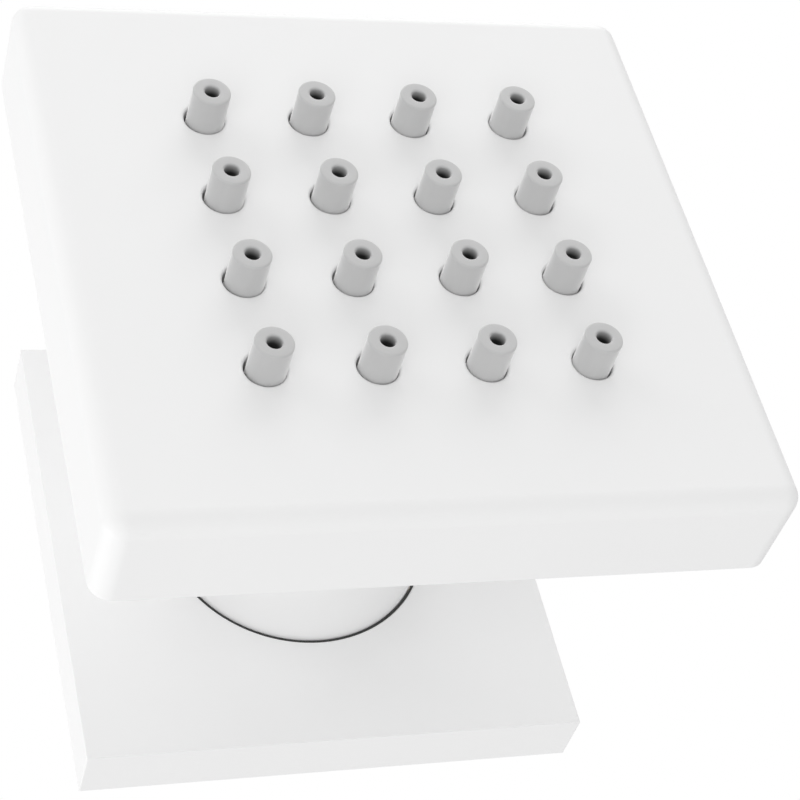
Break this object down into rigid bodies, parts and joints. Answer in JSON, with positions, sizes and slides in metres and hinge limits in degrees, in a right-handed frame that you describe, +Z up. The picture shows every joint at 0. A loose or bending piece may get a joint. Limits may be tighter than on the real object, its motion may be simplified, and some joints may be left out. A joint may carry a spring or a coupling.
{
  "type": "shower body jet",
  "caption": "Square white shower body jet: a flat spray head with soft grey nozzles on a ball joint, at the end of a round neck that comes through a square wall plate.",
  "frame": {"origin": "on the wall plane, on the axis of the inlet, where the inlet's pipe thread begins", "axes": "+X to the right as seen from the front, +Y into the wall along the inlet, +Z up; the nozzles face -Y"},
  "size_m": [0.062, 0.0675, 0.062],
  "materials": {
    "white_lacquer": "satin",
    "grey_silicone": "matte",
    "bare_brass": "satin",
    "plated_brass": "polished",
    "black_rubber": "matte",
    "foam": "matte",
    "white_plastic": "satin",
    "grey_plastic": "matte",
    "steel": "satin"
  },
  "bodies": {
    "wall_side": {"inlet_nipple": "bare_brass", "nipple_o_ring": "black_rubber", "inlet_strainer": "steel", "flow_restrictor": "white_plastic", "neck_body": "white_lacquer", "ball_seal": "black_rubber", "retaining_nut": "white_lacquer"},
    "plate_grip": {"plate_o_ring": "black_rubber"},
    "plate": {"wall_plate": "white_lacquer", "wall_seal": "foam"},
    "pan_liner": {"front_ball_liner": "white_plastic"},
    "tilt_liner": {"rear_ball_liner": "white_plastic"},
    "head": {"ball_stem": "plated_brass", "stem_o_ring": "black_rubber", "head_cover": "white_lacquer", "chamber_seal": "black_rubber", "spray_plate": "grey_plastic", "nozzle_mat": "grey_silicone", "head_shell": "white_lacquer", "cover_screws": "steel"}
  },
  "joints": [
    {"name": "plate_slide", "type": "slide", "parent": "wall_side", "child": "plate_grip", "axis": [0, -1, 0], "range_m": [0, 0.015]},
    {"name": "plate_turn", "type": "hinge", "parent": "plate_grip", "child": "plate", "pos_m": [0, 0, 0], "axis": [0, 1, 0], "continuous": true},
    {"name": "head_pan", "type": "hinge", "parent": "wall_side", "child": "pan_liner", "pos_m": [0, -0.0285, 0], "axis": [0, 0, 1], "range_deg": [-12, 12]},
    {"name": "head_tilt", "type": "hinge", "parent": "pan_liner", "child": "tilt_liner", "pos_m": [0, -0.0285, 0], "axis": [1, 0, 0], "range_deg": [-12, 12]},
    {"name": "head_turn", "type": "hinge", "parent": "tilt_liner", "child": "head", "pos_m": [0, -0.0285, 0], "axis": [0, 1, 0], "continuous": true}
  ]
}
